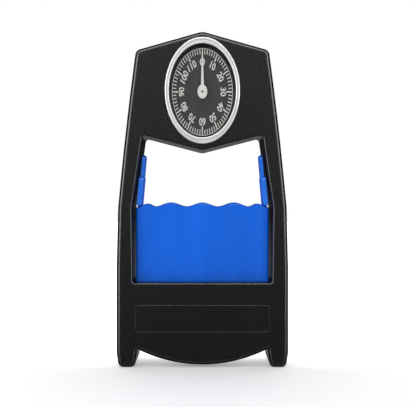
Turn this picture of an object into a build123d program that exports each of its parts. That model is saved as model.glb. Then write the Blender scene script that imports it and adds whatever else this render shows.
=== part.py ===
from build123d import *
import os
from math import atan, cos, floor, hypot, pi, radians, sin, sqrt, tan

# Hand dynamometer with a needle dial in its head and a sliding finger grip in its frame.
# All sizes are in millimetres. X runs to the right, Y to the back and Z up, and the feet
# stand on Z = 0. Pieces are drawn about the parting plane of the two shells, and the last
# step moves the whole forward or back so that its depth is centred on Y = 0.

# Housing, seen from the front
HEIGHT = 202.4
ROOF_DROP = 11.4
SHOULDER_INSET = 10.7
SHOULDER_ROUND = 4.0
APEX_ROUND = 8.0
HIP_INSET = 0.9
HIP_DROP = 106.4
HIP_ROUND = 40.0
SIDE_BULGE = 0.55
FLANK_HALF = 51.8
FLANK_DROP = 36.0
FOOT_WIDTH = 12.4
FOOT_TAPER = 1.35
FOOT_TAPER_Z = 8.5
TOE_ROUND = 3.2
ANKLE_ROUND = 8.0
NOTCH_Z = 10.8
NOTCH_ROUND = 0.4
BELLY_Z = 1.4

# Finger opening
HEAD_HEIGHT = 71.8
OPENING_CORNER_RISE = 9.4
OPENING_CORNER_INSET = 4.2
RAIL_WIDTH_AT_HIP = 8.5
RAIL_WIDTH_LOW = 10.1
OPENING_FLOOR_Z = 51.0
OPENING_CORNER_ROUND = 2.0
OPENING_FLOOR_ROUND = 1.0
OPENING_HIP_ROUND = 12.0
OPENING_PEAK_ROUND = 6.0

# Moulded shells
DEPTH = 28.0
SIDE_WALL = 2.0
FACE_WALL = 2.5
EDGE_ROUND = 2.5
OPENING_EDGE_ROUND = 1.2
LIP_HEIGHT = 1.0
LIP_GAP = 0.1
REBATE_PAST_WALL = 0.5
WALL_ROOT = 1.0
RECESS_SIDE = 11.95
RECESS_HEIGHT = 15.3
RECESS_DROP = 21.7
RECESS_ROUND = 1.5
RECESS_DEPTH = 0.8
GUIDE_RIB_THICK = 1.6
GUIDE_RIB_RISES = (14.0, 34.0)

# Screws that hold the shells together
SCREW_RADIUS = 1.4
SCREW_HEAD_RADIUS = 2.7
SCREW_HEAD_HEIGHT = 1.8
SCREW_BOSS_RADIUS = 4.6
SCREW_SINK = 3.5
SCREW_GRIP = 8.0
SCREW_GAP = 0.06
SCREW_RIM_SHARE = 0.4
SHOULDER_SCREW_INSET = 7.7
SHOULDER_SCREW_DROP = 6.4
FOOT_SCREW_Z = 9.5
BELLY_SCREW_RISE = 6.1

# Dial, lens and bezel
DIAL_DROP = 36.0
WINDOW_HALF_WIDTH = 20.2
WINDOW_HALF_HEIGHT = 28.3
BEZEL_SIDE_BAND = 2.3
BEZEL_END_BAND = 3.6
BEZEL_PROUD = 1.2
BEZEL_SLEEVE = 0.7
BEZEL_GROOVE = 0.45
BEZEL_LIP_SHARE = 0.28
LENS_LEDGE = 0.6
LENS_THICK = 1.3
GASKET_THICK = 0.5
FIT_GAP = 0.05
DIAL_MARGIN = 1.7
DIAL_THICK = 0.8
DIAL_BELOW_POINTER = 0.8
DIAL_SCREW_MARGIN = 4.0
DIAL_SCREW_RADIUS = 0.8
DIAL_SCREW_HEAD = 1.4

# Pointer
POINTER_TIP_GAP = 2.9
POINTER_TAIL_WIDTH = 2.0
POINTER_TIP_WIDTH = 0.5
POINTER_THICK = 0.4
POINTER_HUB_HALF_WIDTH = 2.95
POINTER_HUB_HALF_HEIGHT = 4.25
POINTER_HUB_THICK = 0.8
HUB_DISH_SHARE = 0.62
POINTER_BEHIND_WALL = 0.5
SWEEP_DEGREES = 330.0

# Movement
GEAR_MODULE = 0.5
PINION_TEETH = 10
PRESSURE_ANGLE = 25.0
ADDENDUM = 0.42
DEDENDUM = 0.60
TOOTH_BACKLASH = 0.10
PINION_WIDTH = 2.6
ARBOR_RADIUS = 0.75
ARBOR_RUNNING_GAP = 0.05
BUSH_RADIUS = 2.0
BUSH_FLANGE_RADIUS = 3.0
BUSH_FLANGE_THICK = 0.5
MOVEMENT_PLATE_THICK = 1.0
MOVEMENT_GAP = 8.6
MOVEMENT_HALF_WIDTH = 15.5
MOVEMENT_BELOW = 6.8
MOVEMENT_ABOVE = 18.0
DIAL_FOOT_HEIGHT = 1.0
PILLAR_INSET = 2.9
PILLAR_RADIUS = 1.5
PILLAR_SCREW_RADIUS = 0.7
BRIDGE_INSET = 3.2
BRIDGE_WIDTH = 6.4
BRIDGE_UPPER = 9.6
BRIDGE_LOWER = -8.4
PLATE_SCREW_RADIUS = 0.9
PLATE_SCREW_HEAD = 1.7
PLATE_BOSS_RADIUS = 3.0
RACK_THICK = 2.0
RACK_WIDTH = 4.0
RACK_MARGIN = 3.0
RACK_SCREW_SHARES = (0.3, 0.75)
RACK_SCREW_HEAD = 1.2
RACK_GUIDE_GAP = 0.15
RACK_GUIDE_WIDTH = 2.8
RACK_GUIDE_HEIGHT = 8.0

# Yoke and stirrup
STRIP_THICK = 1.5
STRIP_DEPTH = 8.0
STRIP_BEND = 2.5
LEG_INSET = 4.6
LEG_BEND_RISE = 4.0
LEG_LEAN = 0.125
LEG_TOP_DROP = 2.2
YOKE_THICK = 2.0
YOKE_HEIGHT = 6.0
YOKE_FLOOR_GAP = 1.4
YOKE_INSET = 2.3
TAB_LENGTH = 6.9
RIVET_RADIUS = 1.2
RIVET_HEAD_RADIUS = 2.0
RIVET_HEAD_HEIGHT = 0.8

# Grip
GRIP_SIDE_GAP = 0.9
GRIP_DEPTH = 14.0
FINGER_ROOM = 31.3
GRIP_WAVE = 2.4
FINGER_PITCH = 19.4
OUTER_CREST_SHARE = 0.7
GRIP_TOP_ROUND = 1.7
GRIP_FLUTE = 0.45
GRIP_CORNER_ROUND = 2.0
SLOT_GAP = 0.3
CRADLE_SINK = 5.0
CRADLE_INSET = 2.3
CRADLE_WEB = 5.0
CRADLE_COVER = 9.3
CRADLE_NECK_SHARE = 5 / 22
CRADLE_GAP = 0.1
ARM_INSET = 0.7
ARM_SINK = 1.7
ARM_HEIGHT = 17.4
ARM_LEAN = 0.088
ARM_THICK = 2.7
ARM_DEPTH = 16.0
TONGUE_HEIGHT = 13.4
TONGUE_THICK = 1.8
TONGUE_TIP_SHARE = 5 / 11
TONGUE_DEPTH = 12.0
TONGUE_SETBACK = 0.7
GRIP_SCREW_INSET = 12.8
GRIP_SCREW_SHARES = (3 / 11, 9 / 11)
GRIP_SCREW_RADIUS = 1.2
GRIP_SCREW_HEAD = 2.3
STIRRUP_SCREW_HALF = 8.0
STIRRUP_SCREW_LENGTH = 9.0
BUFFER_WIDTH = 3.0
BUFFER_GAP = 0.3
BUFFER_LEG_GAP = 2.0

# Load springs
SPRING_HALF = 20.0
SPRING_RADIUS = 9.0
SPRING_WIRE = 2.7
SPRING_TURNS = 5.2
SPRING_POST_GAP = 0.5
SPRING_POST_HEIGHT = 6.0
CUP_THICK = 1.5
SEAT_PAD_RISE = 7.6
SEAT_MARGIN = 0.4

# Worked out from the sizes above: widths
HIP_HALF = FLANK_HALF - HIP_INSET
SHOULDER_HALF = HIP_HALF - SHOULDER_INSET
FOOT_INNER_HALF = FLANK_HALF - FOOT_WIDTH
FOOT_MID = FLANK_HALF - FOOT_WIDTH / 2
OPENING_CORNER_HALF = SHOULDER_HALF - OPENING_CORNER_INSET
OPENING_HIP_HALF = HIP_HALF - RAIL_WIDTH_AT_HIP
OPENING_FLOOR_HALF = FLANK_HALF - RAIL_WIDTH_LOW
SHOULDER_SCREW_HALF = SHOULDER_HALF - SHOULDER_SCREW_INSET
BEZEL_HALF_WIDTH = WINDOW_HALF_WIDTH + BEZEL_SIDE_BAND
BEZEL_HALF_HEIGHT = WINDOW_HALF_HEIGHT + BEZEL_END_BAND
DIAL_RADIUS = WINDOW_HALF_HEIGHT + DIAL_MARGIN
DIAL_SCREW_HALF = DIAL_RADIUS - DIAL_SCREW_MARGIN
POINTER_LENGTH = WINDOW_HALF_HEIGHT - POINTER_TIP_GAP
PILLAR_HALF = MOVEMENT_HALF_WIDTH - PILLAR_INSET
BRIDGE_HALF = SHOULDER_HALF - BRIDGE_INSET
PLATE_SCREW_HALF = BRIDGE_HALF - PLATE_BOSS_RADIUS
PITCH_RADIUS = GEAR_MODULE * PINION_TEETH / 2
TOOTH_PITCH = pi * GEAR_MODULE
TRAVEL = radians(SWEEP_DEGREES) * PITCH_RADIUS
RACK_ROOT_X = PITCH_RADIUS + DEDENDUM
RACK_OUTER_X = RACK_ROOT_X + RACK_WIDTH
LEG_HALF = FLANK_HALF - LEG_INSET
YOKE_HALF = SHOULDER_HALF - YOKE_INSET
TAB_INNER_HALF = YOKE_HALF - TAB_LENGTH
GRIP_HALF = OPENING_FLOOR_HALF - GRIP_SIDE_GAP
CRADLE_HALF = GRIP_HALF - CRADLE_INSET
ARM_OUTER_HALF = GRIP_HALF - ARM_INSET
GRIP_SCREW_HALF = GRIP_HALF - GRIP_SCREW_INSET
GRIP_WAVE_HALF = GRIP_HALF - GRIP_CORNER_ROUND - FIT_GAP
VALLEYS_A_SIDE = floor(GRIP_WAVE_HALF / FINGER_PITCH + 1 / 4)
SPRING_POST_RADIUS = SPRING_RADIUS - SPRING_WIRE - SPRING_POST_GAP

# Worked out from the sizes above: heights
SHOULDER_Z = HEIGHT - ROOF_DROP
SHOULDER_SCREW_Z = SHOULDER_Z - SHOULDER_SCREW_DROP
DIAL_Z = HEIGHT - DIAL_DROP
HIP_Z = HEIGHT - HIP_DROP
FLANK_Z = HIP_Z - FLANK_DROP
OPENING_PEAK_Z = HEIGHT - HEAD_HEIGHT
OPENING_CORNER_Z = OPENING_PEAK_Z + OPENING_CORNER_RISE
PEAK_SLOPE = OPENING_CORNER_RISE / OPENING_CORNER_HALF
RECESS_MID_Z = OPENING_FLOOR_Z - RECESS_DROP
BELLY_SCREW_Z = BELLY_Z + BELLY_SCREW_RISE
SEAT_PAD_Z = BELLY_Z + SEAT_PAD_RISE
SEAT_TOP_Z = SEAT_PAD_Z + CUP_THICK
YOKE_BOTTOM_Z = (
    OPENING_PEAK_Z + SIDE_WALL * hypot(1, PEAK_SLOPE) + YOKE_FLOOR_GAP + TRAVEL
)
LEG_BEND_Z = HIP_Z + LEG_BEND_RISE
LEG_TOP_Z = DIAL_Z - LEG_TOP_DROP
GRIP_CREST_Z = OPENING_PEAK_Z - FINGER_ROOM
GRIP_VALLEY_Z = GRIP_CREST_Z - GRIP_WAVE
CRADLE_BASE_Z = OPENING_FLOOR_Z - CRADLE_SINK
CRADLE_TOP_Z = GRIP_CREST_Z - CRADLE_COVER
GRIP_BOTTOM_Z = CRADLE_BASE_Z + CRADLE_GAP
ARM_BASE_Z = GRIP_CREST_Z - ARM_SINK
ARM_STEP_Z = ARM_BASE_Z + ARM_HEIGHT
ARM_TOP_Z = ARM_STEP_Z + TONGUE_HEIGHT
STRIP_TOP_Z = CRADLE_BASE_Z
STRIP_BOTTOM_Z = STRIP_TOP_Z - STRIP_THICK
CUP_BOTTOM_Z = STRIP_BOTTOM_Z - CUP_THICK

# Worked out from the sizes above: depths
FRONT = -DEPTH / 2
BACK = DEPTH / 2
INSIDE_FRONT = FRONT + FACE_WALL
INSIDE_BACK = BACK - FACE_WALL
POINTER_FRONT = INSIDE_FRONT + POINTER_BEHIND_WALL
POINTER_BACK = POINTER_FRONT + POINTER_HUB_THICK
DIAL_FRONT = POINTER_BACK + DIAL_BELOW_POINTER
DIAL_BACK = DIAL_FRONT + DIAL_THICK
PLATE_FRONT = DIAL_BACK + DIAL_FOOT_HEIGHT
PLATE_BACK = PLATE_FRONT + MOVEMENT_PLATE_THICK
REAR_PLATE_FRONT = PLATE_BACK + MOVEMENT_GAP
REAR_PLATE_BACK = REAR_PLATE_FRONT + MOVEMENT_PLATE_THICK
YOKE_BACK = -STRIP_THICK / 2
YOKE_FRONT = YOKE_BACK - YOKE_THICK
RACK_BACK = YOKE_FRONT
RACK_FRONT = RACK_BACK - RACK_THICK
PINION_MID = (RACK_FRONT + RACK_BACK) / 2


def slab(drawing, front, back):
    """Thicken a drawing made in X and Z, from one depth to another."""
    return extrude(Plane.XZ.offset(-back) * drawing, amount=back - front)


def rod(x, z, radius, front, back):
    """A round rod that runs from front to back."""
    return slab(Pos(x, z) * Circle(radius), front, back)


def upright(x, radius, bottom, top):
    """A round rod that stands up, on the parting plane."""
    return Pos(x, 0, (bottom + top) / 2) * Cylinder(radius, top - bottom)


def block(x_range, y_range, z_range):
    """A box between two corners."""
    sizes = [high - low for low, high in (x_range, y_range, z_range)]
    middle = [(high + low) / 2 for low, high in (x_range, y_range, z_range)]
    return Pos(*middle) * Box(*sizes)


def sheet(x_range, z_range):
    """A flat rectangle in X and Z, for a drawing."""
    width = x_range[1] - x_range[0]
    height = z_range[1] - z_range[0]
    return Pos(sum(x_range) / 2, sum(z_range) / 2) * Rectangle(width, height)


def soften(drawing, corners, radius):
    """Round the corners of a drawing that lie at the given points, on both sides."""
    for x, z in corners:
        for side in {x, -x}:
            corner = drawing.vertices().sort_by_distance(Vector(side, z))[0]
            drawing = fillet(corner, radius)
    return drawing


def mirrored(points):
    """Points on the right, then their mirror images, as one open run."""
    return points + [(-x, z) for x, z in reversed(points) if x]


def pair(piece):
    """A piece on the right and its mirror image on the left."""
    return piece + mirror(piece, about=Plane.YZ)


def oval_slab(half_width, half_height, front, back):
    """An oval plate about the dial's middle."""
    return slab(Pos(0, DIAL_Z) * Ellipse(half_width, half_height), front, back)


def oval_ring(outer, inner, front, back):
    """An oval ring about the dial's middle; outer and inner are half sizes."""
    return oval_slab(*outer, front, back) - oval_slab(*inner, front, back)


def housing_drawing():
    """The frame's outline: roof, leaning sides, feet and round belly."""
    side_middle = (
        (SHOULDER_HALF + HIP_HALF) / 2 + SIDE_BULGE, (SHOULDER_Z + HIP_Z) / 2
    )
    foot = [
        (HIP_HALF, HIP_Z),
        (FLANK_HALF, FLANK_Z),
        (FLANK_HALF, FOOT_TAPER_Z),
        (FLANK_HALF - FOOT_TAPER, 0),
        (FOOT_INNER_HALF + FOOT_TAPER, 0),
        (FOOT_INNER_HALF, FOOT_TAPER_Z),
        (FOOT_INNER_HALF, NOTCH_Z),
    ]
    lines = Polyline((0, HEIGHT), (SHOULDER_HALF, SHOULDER_Z))
    lines += ThreePointArc((SHOULDER_HALF, SHOULDER_Z), side_middle, foot[0])
    lines += Polyline(*foot)
    lines += mirror(lines, about=Plane.YZ)
    lines += ThreePointArc(
        foot[-1], (0, BELLY_Z), (-FOOT_INNER_HALF, NOTCH_Z)
    )
    drawing = make_face(lines)
    drawing = soften(drawing, [(0, HEIGHT)], APEX_ROUND)
    drawing = soften(drawing, [(SHOULDER_HALF, SHOULDER_Z)], SHOULDER_ROUND)
    drawing = soften(drawing, foot[:1], HIP_ROUND)
    drawing = soften(drawing, foot[1:2], HIP_ROUND)
    drawing = soften(drawing, [foot[2], foot[5]], ANKLE_ROUND)
    drawing = soften(drawing, [foot[3], foot[4]], TOE_ROUND)
    return soften(drawing, [foot[6]], NOTCH_ROUND)


def opening_drawing():
    """The opening that the fingers go through, under the head's V-shaped edge."""
    corners = [
        (0, OPENING_PEAK_Z),
        (OPENING_CORNER_HALF, OPENING_CORNER_Z),
        (OPENING_HIP_HALF, HIP_Z),
        (OPENING_FLOOR_HALF, OPENING_FLOOR_Z),
    ]
    drawing = make_face(Polyline(*mirrored(corners), close=True))
    rounds = [
        OPENING_PEAK_ROUND, OPENING_CORNER_ROUND, OPENING_HIP_ROUND, OPENING_FLOOR_ROUND
    ]
    for corner, radius in zip(corners, rounds):
        drawing = soften(drawing, [corner], radius)
    return drawing


def hollow_drawing(inset):
    """What lies inside walls of the given thickness, in the frame's outline."""
    outside = offset(housing_drawing(), amount=-inset, kind=Kind.INTERSECTION)
    return outside - offset(opening_drawing(), amount=inset)


def rounded_frame():
    """The solid outer form of the whole housing, with its edges rounded."""
    frame = slab(housing_drawing() - opening_drawing(), FRONT, BACK)
    faces = frame.faces().filter_by(Plane.XZ).sort_by(Axis.Y)
    rims = [faces[0], faces[-1]]
    outer_edges = [edge for face in rims for edge in face.outer_wire().edges()]
    frame = fillet(outer_edges, EDGE_ROUND)
    faces = frame.faces().filter_by(Plane.XZ).sort_by(Axis.Y)
    rims = [faces[0], faces[-1]]
    inner_edges = [
        edge for face in rims for wire in face.inner_wires() for edge in wire.edges()
    ]
    return fillet(inner_edges, OPENING_EDGE_ROUND)


def shell_screw_places():
    """Where the screws between the shells are."""
    return [
        (-SHOULDER_SCREW_HALF, SHOULDER_SCREW_Z),
        (SHOULDER_SCREW_HALF, SHOULDER_SCREW_Z),
        (-FOOT_MID, FOOT_SCREW_Z),
        (FOOT_MID, FOOT_SCREW_Z),
        (0, BELLY_SCREW_Z),
    ]


def plate_screw_places():
    """Where the movement's front plate is screwed to the front shell."""
    rows = (DIAL_Z + BRIDGE_UPPER, DIAL_Z + BRIDGE_LOWER)
    return [(x, z) for x in (-PLATE_SCREW_HALF, PLATE_SCREW_HALF) for z in rows]


def dial_screw_places():
    """Where the dial plate is screwed to the movement's front plate."""
    rows = (DIAL_Z + BRIDGE_UPPER, DIAL_Z + BRIDGE_LOWER)
    return [(x, z) for x in (-DIAL_SCREW_HALF, DIAL_SCREW_HALF) for z in rows]


def pillar_places():
    """Where the pillars between the movement's plates are."""
    low = DIAL_Z - MOVEMENT_BELOW + 2 * PILLAR_RADIUS
    high = DIAL_Z + MOVEMENT_ABOVE - 2 * PILLAR_RADIUS
    return [(x, z) for x in (-PILLAR_HALF, PILLAR_HALF) for z in (low, high)]


def seat_pad(rooted):
    """A thick place in the belly that carries a load spring."""
    reach = SPRING_RADIUS + SEAT_MARGIN + SEAT_MARGIN
    level = sheet((SPRING_HALF - reach, SPRING_HALF + reach), (0, SEAT_PAD_Z))
    return slab(rooted & level, FRONT + WALL_ROOT, BACK - WALL_ROOT)


def guide_ribs(rooted):
    """Ribs in a rail that keep the stirrup's leg in the middle of the depth."""
    near = STRIP_DEPTH / 2 + BUFFER_GAP
    ribs = []
    for rise in GUIDE_RIB_RISES:
        low, high = HIP_Z + rise - GUIDE_RIB_THICK / 2, HIP_Z + rise + GUIDE_RIB_THICK / 2
        rib = rooted & sheet((OPENING_CORNER_HALF, FLANK_HALF), (low, high))
        ribs.append(slab(rib, FRONT + WALL_ROOT, -near))
        ribs.append(slab(rib, near, BACK - WALL_ROOT))
    return ribs


def hollow_frame():
    """The housing as one hollow piece, before it is parted into two shells."""
    hollow = rounded_frame() - slab(hollow_drawing(SIDE_WALL), INSIDE_FRONT, INSIDE_BACK)
    rooted = hollow_drawing(WALL_ROOT)
    for piece in (seat_pad(rooted), *guide_ribs(rooted)):
        hollow += pair(piece)
    for x, z in shell_screw_places():
        hollow += rod(x, z, SCREW_BOSS_RADIUS, FRONT + WALL_ROOT, BACK - WALL_ROOT)
    return hollow


def grip_slot():
    """The mouth in the bottom bar that the grip slides down through."""
    half = GRIP_HALF + SLOT_GAP
    reach = GRIP_DEPTH / 2 + SLOT_GAP
    low = OPENING_FLOOR_Z - SIDE_WALL - SLOT_GAP
    high = OPENING_FLOOR_Z + OPENING_FLOOR_ROUND + SLOT_GAP
    return block((-half, half), (-reach, reach), (low, high))


def lip(outer, inner):
    """A band along the wall at the parting plane, between two insets."""
    return hollow_drawing(outer) - hollow_drawing(inner)


def front_shell(hollow):
    """Front half: window, boss row for the movement, bare recess and centring lip."""
    shell = hollow & block((-HEIGHT, HEIGHT), (FRONT, 0), (0, HEIGHT))
    shell += slab(lip(SIDE_WALL / 2, SIDE_WALL - LIP_GAP), 0, LIP_HEIGHT)
    seat = (
        WINDOW_HALF_WIDTH + LENS_LEDGE + BEZEL_SLEEVE + 2 * FIT_GAP,
        WINDOW_HALF_HEIGHT + LENS_LEDGE + BEZEL_SLEEVE + 2 * FIT_GAP,
    )
    ledge = FRONT + LENS_THICK + GASKET_THICK
    shell -= oval_slab(*seat, FRONT, ledge)
    shell -= oval_slab(WINDOW_HALF_WIDTH, WINDOW_HALF_HEIGHT, ledge, INSIDE_FRONT)
    recess_width = 2 * (FLANK_HALF - RECESS_SIDE)
    recess = RectangleRounded(recess_width, RECESS_HEIGHT, RECESS_ROUND)
    shell -= slab(Pos(0, RECESS_MID_Z) * recess, FRONT, FRONT + RECESS_DEPTH)
    for x, z in plate_screw_places():
        shell += rod(x, z, PLATE_BOSS_RADIUS, INSIDE_FRONT, PLATE_FRONT)
        shell -= rod(x, z, PLATE_SCREW_RADIUS + SCREW_GAP, INSIDE_FRONT, PLATE_FRONT)
    for x, z in shell_screw_places():
        shell -= rod(x, z, SCREW_RADIUS + SCREW_GAP, -SCREW_GRIP, 0)
    return shell - grip_slot()


def rear_shell(hollow):
    """Rear half: sunk screw holes and the rebate that takes the front shell's lip."""
    shell = hollow & block((-HEIGHT, HEIGHT), (0, BACK), (0, HEIGHT))
    rebate = lip(SIDE_WALL / 2 - LIP_GAP, SIDE_WALL + REBATE_PAST_WALL)
    shell -= slab(rebate, 0, LIP_HEIGHT + LIP_GAP)
    for x, z in shell_screw_places():
        shell -= rod(x, z, SCREW_RADIUS + SCREW_GAP, 0, BACK)
        shell -= rod(x, z, SCREW_HEAD_RADIUS + SCREW_GAP, BACK - SCREW_SINK, BACK)
    return shell - grip_slot()


def crossed_head(x, z, radius, front, back, faces_back):
    """A round screw head with rounded rim and a cross recess in its outer face."""
    head = rod(x, z, radius, front, back)
    outer = head.edges().sort_by(Axis.Y)[-1 if faces_back else 0]
    height = back - front
    head = fillet(outer, height * SCREW_RIM_SHARE)
    slot = Rectangle(radius, radius / 4) + Rectangle(radius / 4, radius)
    low = back - height / 2 if faces_back else front
    return head - slab(Pos(x, z) * slot, low, low + height / 2)


def shell_screws():
    """The screws that join the two shells, put in from the rear."""
    seat = BACK - SCREW_SINK
    screws = []
    for x, z in shell_screw_places():
        shank = rod(x, z, SCREW_RADIUS, -SCREW_GRIP + SCREW_GAP, seat)
        head = crossed_head(x, z, SCREW_HEAD_RADIUS, seat, seat + SCREW_HEAD_HEIGHT, True)
        screws.append(shank + head)
    return screws


def dial_bezel():
    """Oval ring with two bright lips, a groove between them and a sleeve behind."""
    outer = (BEZEL_HALF_WIDTH, BEZEL_HALF_HEIGHT)
    inner = (WINDOW_HALF_WIDTH, WINDOW_HALF_HEIGHT)
    crown = oval_ring(outer, inner, FRONT - BEZEL_PROUD, FRONT)
    rim = crown.edges().filter_by(lambda e: e.center().Y < FRONT - BEZEL_PROUD / 2)
    crown = fillet(rim, BEZEL_PROUD / 4)
    width = [big - small for big, small in zip(outer, inner)]
    groove_outer = [big - part * BEZEL_LIP_SHARE for big, part in zip(outer, width)]
    groove_inner = [small + part * BEZEL_LIP_SHARE for small, part in zip(inner, width)]
    front = FRONT - BEZEL_PROUD
    crown -= oval_ring(groove_outer, groove_inner, front, front + BEZEL_GROOVE)
    lens = [size + LENS_LEDGE + FIT_GAP for size in inner]
    sleeve = [size + BEZEL_SLEEVE for size in lens]
    return crown + oval_ring(sleeve, lens, FRONT, FRONT + LENS_THICK)


def dial_lens():
    """The clear window, clamped between bezel and gasket."""
    return oval_slab(
        WINDOW_HALF_WIDTH + LENS_LEDGE, WINDOW_HALF_HEIGHT + LENS_LEDGE,
        FRONT, FRONT + LENS_THICK,
    )


def lens_gasket():
    """The rubber ring between the lens and the front shell's ledge."""
    outer = (
        WINDOW_HALF_WIDTH + LENS_LEDGE + BEZEL_SLEEVE,
        WINDOW_HALF_HEIGHT + LENS_LEDGE + BEZEL_SLEEVE,
    )
    inner = (WINDOW_HALF_WIDTH, WINDOW_HALF_HEIGHT)
    front = FRONT + LENS_THICK
    return oval_ring(outer, inner, front, front + GASKET_THICK)


def dial_plate():
    """The dial's disc, with a hole for the arbor and four for its screws."""
    plate = rod(0, DIAL_Z, DIAL_RADIUS, DIAL_FRONT, DIAL_BACK)
    plate -= rod(0, DIAL_Z, BUSH_RADIUS, DIAL_FRONT, DIAL_BACK)
    for x, z in dial_screw_places():
        plate -= rod(x, z, DIAL_SCREW_RADIUS + SCREW_GAP, DIAL_FRONT, DIAL_BACK)
    return plate


def dial_screws():
    """The screws through the dial plate into the movement's front plate."""
    screws = []
    for x, z in dial_screw_places():
        head = rod(x, z, DIAL_SCREW_HEAD, DIAL_FRONT - DIAL_BELOW_POINTER / 2, DIAL_FRONT)
        screws.append(head + rod(x, z, DIAL_SCREW_RADIUS, DIAL_FRONT, PLATE_BACK))
    return screws


def pointer():
    """The needle, at rest on the dial's top, with an oval hub and a raised rim."""
    tail = POINTER_TAIL_WIDTH / 2
    tip = POINTER_TIP_WIDTH / 2
    end = POINTER_LENGTH
    outline = Polyline((-tail, 0), (-tip, end), (tip, end), (tail, 0), close=True)
    middle = (POINTER_FRONT + POINTER_BACK) / 2
    needle = slab(
        Pos(0, DIAL_Z) * make_face(outline), middle - POINTER_THICK / 2, middle + POINTER_THICK / 2
    )
    hub = oval_slab(
        POINTER_HUB_HALF_WIDTH, POINTER_HUB_HALF_HEIGHT, POINTER_FRONT, POINTER_BACK
    )
    rim = hub.edges().sort_by(Axis.Y)[0]
    hub = fillet(rim, POINTER_HUB_THICK / 4)
    dish = oval_slab(
        POINTER_HUB_HALF_WIDTH * HUB_DISH_SHARE, POINTER_HUB_HALF_HEIGHT * HUB_DISH_SHARE,
        POINTER_FRONT, POINTER_FRONT + POINTER_HUB_THICK / 4,
    )
    return needle + hub - dish - rod(0, DIAL_Z, ARBOR_RADIUS, POINTER_FRONT, POINTER_BACK)


def involute(radius, base):
    """The angle by which an involute has turned when it reaches a radius."""
    roll = sqrt((radius / base) ** 2 - 1)
    return roll - atan(roll)


def pinion_drawing():
    """The pinion's outline, with involute flanks and a tooth space facing the rack."""
    base = PITCH_RADIUS * cos(radians(PRESSURE_ANGLE))
    tip = PITCH_RADIUS + ADDENDUM
    root = PITCH_RADIUS - DEDENDUM
    half_tooth = (TOOTH_PITCH - TOOTH_BACKLASH) / 4 / PITCH_RADIUS
    half_base = half_tooth + involute(PITCH_RADIUS, base)
    half_tip = half_base - involute(tip, base)
    half_mid = half_base - involute(PITCH_RADIUS, base)
    step = 2 * pi / PINION_TEETH

    def spot(radius, angle):
        return (radius * cos(angle), radius * sin(angle))

    lines = Curve()
    for tooth in range(PINION_TEETH):
        middle = (tooth + 0.5) * step
        rise = [spot(root, middle - half_base), spot(base, middle - half_base)]
        fall = [spot(base, middle + half_base), spot(root, middle + half_base)]
        lines += Line(*rise)
        lines += ThreePointArc(
            rise[1], spot(PITCH_RADIUS, middle - half_mid), spot(tip, middle - half_tip)
        )
        lines += ThreePointArc(
            spot(tip, middle - half_tip), spot(tip, middle), spot(tip, middle + half_tip)
        )
        lines += ThreePointArc(
            spot(tip, middle + half_tip), spot(PITCH_RADIUS, middle + half_mid), fall[0]
        )
        lines += Line(*fall)
        lines += ThreePointArc(
            fall[1], spot(root, middle + step / 2), spot(root, middle + step - half_base)
        )
    return make_face(lines)


def pinion_arbor():
    """The shaft that carries the pointer in front and is one piece with the pinion."""
    end = REAR_PLATE_BACK + BUSH_FLANGE_THICK
    shaft = rod(0, DIAL_Z, ARBOR_RADIUS, POINTER_FRONT, end)
    teeth = slab(
        Pos(0, DIAL_Z) * pinion_drawing(),
        PINION_MID - PINION_WIDTH / 2, PINION_MID + PINION_WIDTH / 2,
    )
    return shaft + teeth


def bush(flange_front, flange_back, front, back):
    """A flanged bearing bush for the arbor."""
    body = rod(0, DIAL_Z, BUSH_RADIUS, front, back)
    body += rod(0, DIAL_Z, BUSH_FLANGE_RADIUS, flange_front, flange_back)
    return body - rod(0, DIAL_Z, ARBOR_RADIUS + ARBOR_RUNNING_GAP, FRONT, BACK)


def front_bush():
    """The bush in the movement's front plate."""
    return bush(PLATE_BACK, PLATE_BACK + BUSH_FLANGE_THICK, PLATE_FRONT, PLATE_BACK)


def rear_bush():
    """The bush in the movement's rear plate."""
    return bush(
        REAR_PLATE_FRONT - BUSH_FLANGE_THICK, REAR_PLATE_FRONT,
        REAR_PLATE_FRONT, REAR_PLATE_BACK,
    )


def movement_outline():
    """The flat outline that both movement plates share."""
    return sheet(
        (-MOVEMENT_HALF_WIDTH, MOVEMENT_HALF_WIDTH),
        (DIAL_Z - MOVEMENT_BELOW, DIAL_Z + MOVEMENT_ABOVE),
    )


def front_movement_plate():
    """The plate behind the dial, with two cross arms screwed to the front shell."""
    flat = movement_outline()
    for z in (DIAL_Z + BRIDGE_UPPER, DIAL_Z + BRIDGE_LOWER):
        arm = RectangleRounded(2 * BRIDGE_HALF, BRIDGE_WIDTH, BRIDGE_WIDTH / 3)
        flat += Pos(0, z) * arm
    plate = slab(flat, PLATE_FRONT, PLATE_BACK)
    plate -= rod(0, DIAL_Z, BUSH_RADIUS, PLATE_FRONT, PLATE_BACK)
    for x, z in plate_screw_places():
        plate -= rod(x, z, PLATE_SCREW_RADIUS + SCREW_GAP, PLATE_FRONT, PLATE_BACK)
    for x, z in dial_screw_places():
        plate += rod(x, z, 2 * DIAL_SCREW_RADIUS, DIAL_BACK, PLATE_FRONT)
        plate -= rod(x, z, DIAL_SCREW_RADIUS + SCREW_GAP, DIAL_BACK, PLATE_BACK)
    return plate


def rear_movement_plate():
    """The plate at the movement's back, held on the pillars."""
    plate = slab(movement_outline(), REAR_PLATE_FRONT, REAR_PLATE_BACK)
    plate -= rod(0, DIAL_Z, BUSH_RADIUS, REAR_PLATE_FRONT, REAR_PLATE_BACK)
    for x, z in pillar_places():
        plate -= rod(x, z, PILLAR_SCREW_RADIUS + SCREW_GAP, REAR_PLATE_FRONT, REAR_PLATE_BACK)
    return plate


def movement_pillars():
    """The posts that hold the two movement plates apart."""
    pillars = []
    for x, z in pillar_places():
        post = rod(x, z, PILLAR_RADIUS, PLATE_BACK, REAR_PLATE_FRONT)
        pillars.append(post - rod(x, z, PILLAR_SCREW_RADIUS + SCREW_GAP, 0, REAR_PLATE_FRONT))
    return pillars


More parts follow.
